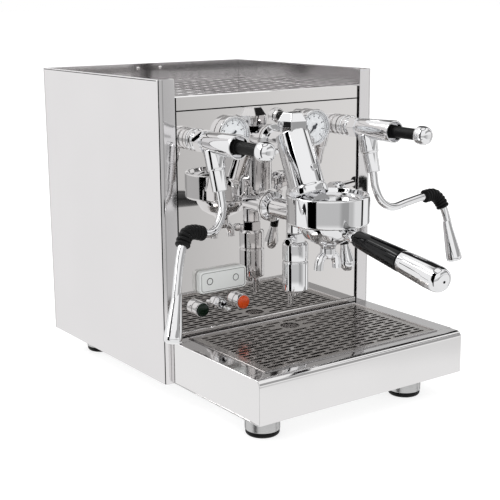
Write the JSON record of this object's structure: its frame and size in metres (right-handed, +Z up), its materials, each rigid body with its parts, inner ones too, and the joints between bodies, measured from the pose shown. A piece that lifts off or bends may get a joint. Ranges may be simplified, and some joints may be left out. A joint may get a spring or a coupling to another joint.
{
  "type": "espresso machine",
  "caption": "Polished steel espresso machine with a lever-operated brew group, portafilter, steam and water wands, pressure gauges and a slide-out drip tray.",
  "frame": {"origin": "middle of the whole machine's footprint, on the surface it stands on", "axes": "+Z up, +X to the operator's right, -Y towards the operator"},
  "size_m": [0.4758, 0.606, 0.396],
  "materials": {
    "polished_steel": "mirror-polished stainless steel sheet",
    "satin_steel": "fine satin stainless steel sheet",
    "chrome": "bright chrome plating",
    "brushed_metal": "plain brushed stainless steel",
    "black_gloss": "gloss black moulded plastic",
    "black_rubber": "matt black rubber",
    "black_plastic": "matt black moulded plastic",
    "clear_plastic": "milky translucent plastic",
    "copper": "bare copper sheet and tube",
    "brass": "bare brass",
    "gauge_case": "chrome bezel round a white enamel dial",
    "needle_black": "matt black enamel",
    "green_lens": "dark green translucent lens in a chrome ring",
    "orange_lens": "orange-red translucent lens in a chrome ring",
    "control_case": "silver-grey moulded case"
  },
  "bodies": {
    "machine": {"base_frame": "brushed_metal", "boiler": "copper", "control_box": "black_plastic", "controller_housing": "control_case", "foot_front_left": "brushed_metal", "foot_front_right": "brushed_metal", "foot_pad_front_left": "black_rubber", "foot_pad_front_right": "black_rubber", "foot_pad_rear_left": "black_rubber", "foot_pad_rear_right": "black_rubber", "foot_rear_left": "brushed_metal", "foot_rear_right": "brushed_metal", "front_panel": "polished_steel", "gauge_case_left": "gauge_case", "gauge_case_right": "gauge_case", "green_lamp": "green_lens", "group_body": "chrome", "group_cap": "chrome", "group_gasket": "black_rubber", "heating_element": "brass", "hot_water_pipe": "copper", "left_side_panel": "satin_steel", "lower_chamber": "chrome", "lower_circulation_pipe": "copper", "orange_lamp": "orange_lens", "power_inlet": "black_plastic", "pressure_switch": "black_plastic", "pump": "black_plastic", "rear_panel": "satin_steel", "right_side_panel": "satin_steel", "shower_screen": "brushed_metal", "steam_pipe": "copper", "switch_bushing": "chrome", "top_fascia": "polished_steel", "upper_circulation_pipe": "copper", "valve_body_left": "chrome", "valve_body_right": "chrome", "water_tank": "clear_plastic"},
    "cup_tray": {"cup_tray": "polished_steel"},
    "drip_tray": {"drip_tray": "polished_steel"},
    "drip_grid": {"drip_grid": "polished_steel"},
    "brew_lever": {"brew_lever": "chrome"},
    "portafilter": {"portafilter": "chrome", "filter_basket": "brushed_metal", "spout": "chrome", "handle_grip": "black_gloss", "handle_cap": "chrome"},
    "joystick_left": {"joystick_grip_left": "black_rubber", "joystick_ball_left": "chrome"},
    "joystick_right": {"joystick_grip_right": "black_rubber", "joystick_ball_right": "chrome"},
    "wand_left": {"wand_left": "chrome", "wand_grip_left": "black_rubber"},
    "wand_right": {"wand_right": "chrome", "wand_grip_right": "black_rubber"},
    "gauge_needle_left": {"gauge_needle_left": "needle_black"},
    "gauge_needle_right": {"gauge_needle_right": "needle_black"},
    "switch_lever": {"switch_lever": "chrome"},
    "button_left": {"button_left": "brushed_metal"},
    "button_right": {"button_right": "brushed_metal"}
  },
  "joints": [
    {"name": "cup_tray_lift", "type": "slide", "parent": "machine", "child": "cup_tray", "axis": [0, 0, 1], "range_m": [0, 0.06]},
    {"name": "drip_tray_slide", "type": "slide", "parent": "machine", "child": "drip_tray", "axis": [0, -1, 0], "range_m": [0, 0.19]},
    {"name": "drip_grid_lift", "type": "slide", "parent": "drip_tray", "child": "drip_grid", "axis": [0, 0, 1], "range_m": [0, 0.02]},
    {"name": "brew_lever_lift", "type": "hinge", "parent": "machine", "child": "brew_lever", "pos_m": [0.0562, -0.05802, 0.252], "axis": [-1, 0, 0], "range_deg": [0, 65]},
    {"name": "portafilter_turn", "type": "hinge", "parent": "machine", "child": "portafilter", "pos_m": [-0.0018, -0.11202, 0.229], "axis": [0, 0, 1], "range_deg": [-45, 0]},
    {"name": "steam_joystick_tilt", "type": "hinge", "parent": "machine", "child": "joystick_left", "pos_m": [-0.1178, -0.08202, 0.3255], "axis": [1, 0, 0], "range_deg": [-12, 12], "stiffness_Nm_per_rad": 3},
    {"name": "water_joystick_tilt", "type": "hinge", "parent": "machine", "child": "joystick_right", "pos_m": [0.1142, -0.08202, 0.3255], "axis": [1, 0, 0], "range_deg": [-12, 12], "stiffness_Nm_per_rad": 3},
    {"name": "wand_left_swing", "type": "hinge", "parent": "machine", "child": "wand_left", "pos_m": [-0.1178, -0.04402, 0.3255], "axis": [0, 0.2756, 0.9613], "range_deg": [-20, 75]},
    {"name": "wand_right_swing", "type": "hinge", "parent": "machine", "child": "wand_right", "pos_m": [0.1142, -0.04402, 0.3255], "axis": [0, -0.2756, -0.9613], "range_deg": [-20, 90]},
    {"name": "gauge_left_reading", "type": "hinge", "parent": "machine", "child": "gauge_needle_left", "pos_m": [-0.0638, -0.01602, 0.327], "axis": [0, 1, 0], "range_deg": [0, 270], "stiffness_Nm_per_rad": 0.0001},
    {"name": "gauge_right_reading", "type": "hinge", "parent": "machine", "child": "gauge_needle_right", "pos_m": [0.0602, -0.01602, 0.327], "axis": [0, 1, 0], "range_deg": [0, 270], "stiffness_Nm_per_rad": 0.0001},
    {"name": "power_switch_toggle", "type": "hinge", "parent": "machine", "child": "switch_lever", "pos_m": [-0.0838, -0.00552, 0.121], "axis": [-1, 0, 0], "range_deg": [0, 24]},
    {"name": "button_left_press", "type": "slide", "parent": "machine", "child": "button_left", "axis": [0, 1, 0], "range_m": [0, 0.0012], "stiffness_N_per_m": 150, "springref_m": -0.003},
    {"name": "button_right_press", "type": "slide", "parent": "machine", "child": "button_right", "axis": [0, 1, 0], "range_m": [0, 0.0012], "stiffness_N_per_m": 150, "springref_m": -0.003}
  ]
}
